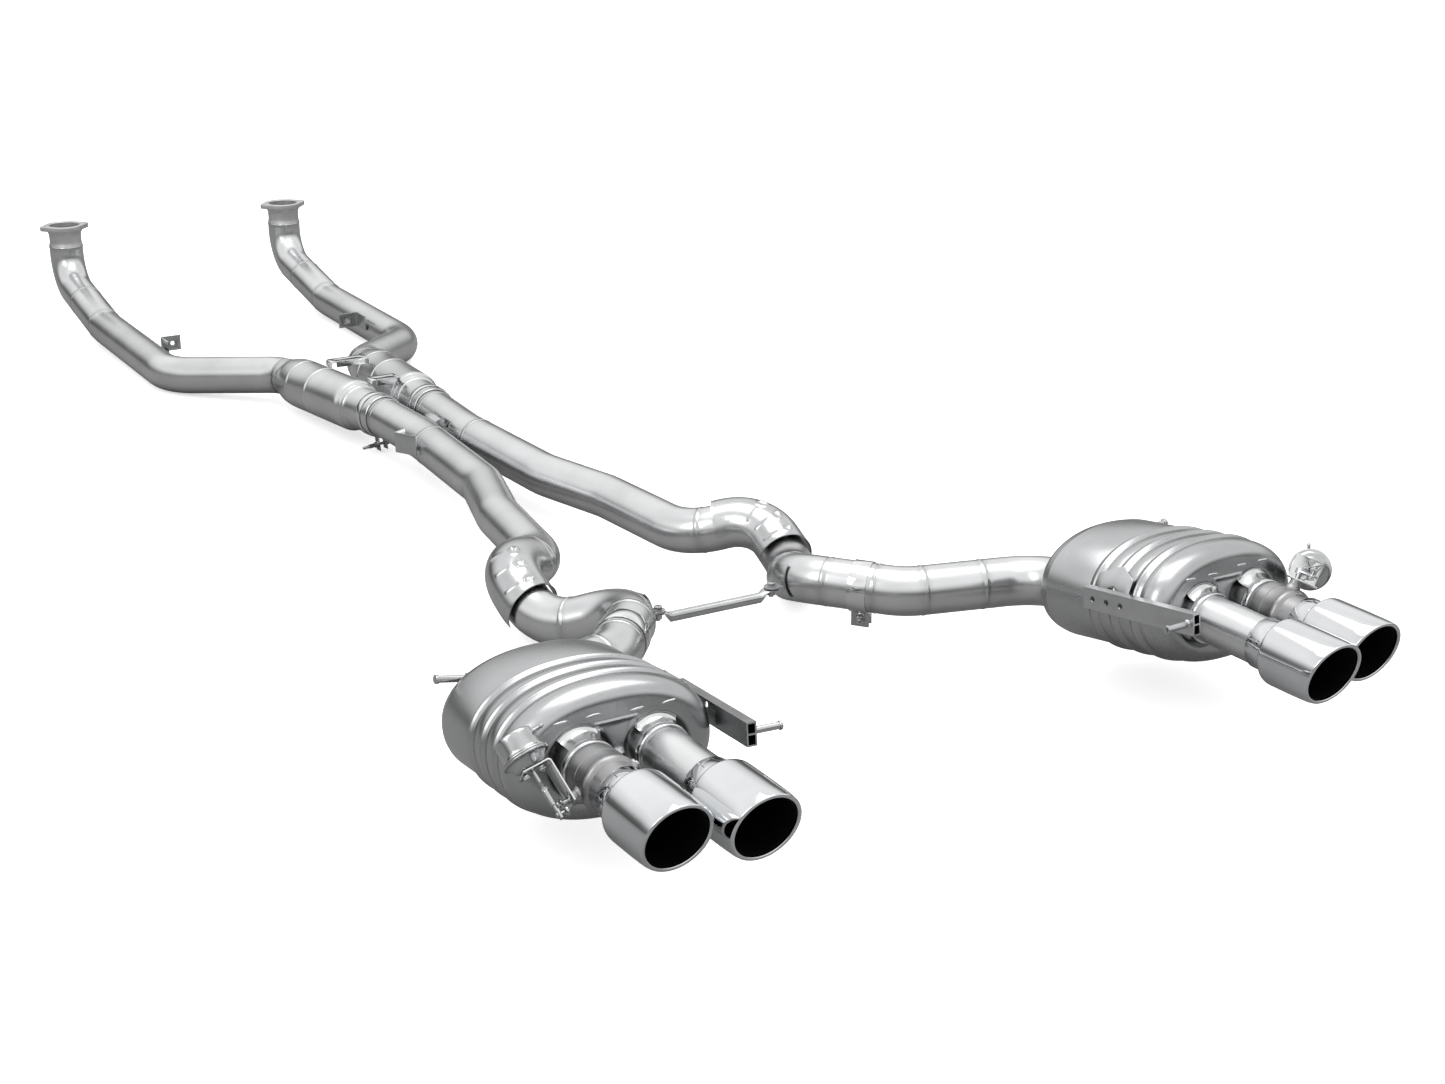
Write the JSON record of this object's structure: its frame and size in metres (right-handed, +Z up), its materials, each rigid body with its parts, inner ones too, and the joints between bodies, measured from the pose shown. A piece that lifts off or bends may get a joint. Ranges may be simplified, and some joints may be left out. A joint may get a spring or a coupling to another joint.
{
  "type": "racing exhaust system",
  "caption": "Twin-run performance exhaust with linked resonators, oval rear mufflers, valve-controlled outer outlets and slash-cut round tips.",
  "frame": {"origin": "on the system's middle plane, half way along its length, at the height of its lowest point", "axes": "+Y towards the engine flanges, -Y towards the tips, +X towards the right-hand run seen from behind, +Z up"},
  "size_m": [1.35, 3.6254, 0.2594],
  "materials": {
    "satin": "satin tube, circumferentially brushed",
    "blasted": "bead-blasted sheet",
    "bright": "bright rolled sheet",
    "chrome": "mirror polished",
    "zinc": "bright zinc plated"
  },
  "bodies": {
    "system": {"inlet_flange_left": "satin", "inlet_flange_right": "satin", "front_pipe_left": "satin", "front_pipe_right": "satin", "resonator_shell_left": "satin", "resonator_shell_right": "satin", "link_pipe_left": "satin", "link_pipe_right": "satin", "muffler_inlet_pipe_left": "satin", "muffler_inlet_pipe_right": "satin", "outlet_pipe_left": "satin", "outlet_pipe_right": "satin", "valve_body_left": "satin", "valve_body_right": "satin", "muffler_shell_left": "blasted", "muffler_shell_right": "blasted", "muffler_front_cap_left": "blasted", "muffler_front_cap_right": "blasted", "muffler_rear_cap_left": "blasted", "muffler_rear_cap_right": "blasted", "heat_shield_left": "bright", "heat_shield_right": "bright", "band_clamp_left": "bright", "band_clamp_right": "bright", "tip_inner_left": "chrome", "tip_inner_right": "chrome", "tip_outer_left": "chrome", "tip_outer_right": "chrome", "slip_clamp_left": "zinc", "slip_clamp_right": "zinc", "slip_clamp_bolt_left": "zinc", "slip_clamp_bolt_right": "zinc", "front_bracket_left": "zinc", "front_bracket_right": "zinc", "mid_bracket_left": "zinc", "link_tab_left": "zinc", "link_tab_right": "zinc", "tie_bracket_left": "zinc", "tie_bracket_right": "zinc", "band_clamp_bolt_left": "zinc", "band_clamp_bolt_right": "zinc", "muffler_hanger_left": "zinc", "muffler_hanger_right": "zinc", "front_hanger_pin_left": "zinc", "front_hanger_pin_right": "zinc", "actuator_left": "zinc", "actuator_right": "zinc", "actuator_bracket_left": "zinc", "actuator_bracket_right": "zinc", "tie_rod_bolt_left": "zinc", "tie_rod_bolt_right": "zinc", "tie_rod": "zinc", "resonator_tie_front": "bright", "resonator_tie_rear": "bright"},
    "valve_left": {"valve_flap_left": "zinc"},
    "rod_left": {"actuator_rod_left": "zinc"},
    "valve_right": {"valve_flap_right": "zinc"},
    "rod_right": {"actuator_rod_right": "zinc"}
  },
  "joints": [
    {"name": "valve_left_turn", "type": "hinge", "parent": "system", "child": "valve_left", "pos_m": [-0.553, -1.593, 0.17125], "axis": [-0.9613, 0, -0.2756], "range_deg": [0, 76], "stiffness_Nm_per_rad": 0.08, "springref_deg": -8.59},
    {"name": "rod_left_pull", "type": "slide", "parent": "system", "child": "rod_left", "axis": [-0.1949, 0.7071, 0.6797], "range_m": [0, 0.0252]},
    {"name": "valve_right_turn", "type": "hinge", "parent": "system", "child": "valve_right", "pos_m": [0.553, -1.593, 0.17125], "axis": [0.4695, 0, 0.8829], "range_deg": [0, 76], "stiffness_Nm_per_rad": 0.08, "springref_deg": -8.59},
    {"name": "rod_right_pull", "type": "slide", "parent": "system", "child": "rod_right", "axis": [0.6243, 0.7071, -0.332], "range_m": [0, 0.0252]}
  ],
  "couplings": [
    {"joint": "rod_left_pull", "follows": "valve_left_turn", "m_per_rad": 0.018848},
    {"joint": "rod_right_pull", "follows": "valve_right_turn", "m_per_rad": 0.018848}
  ]
}
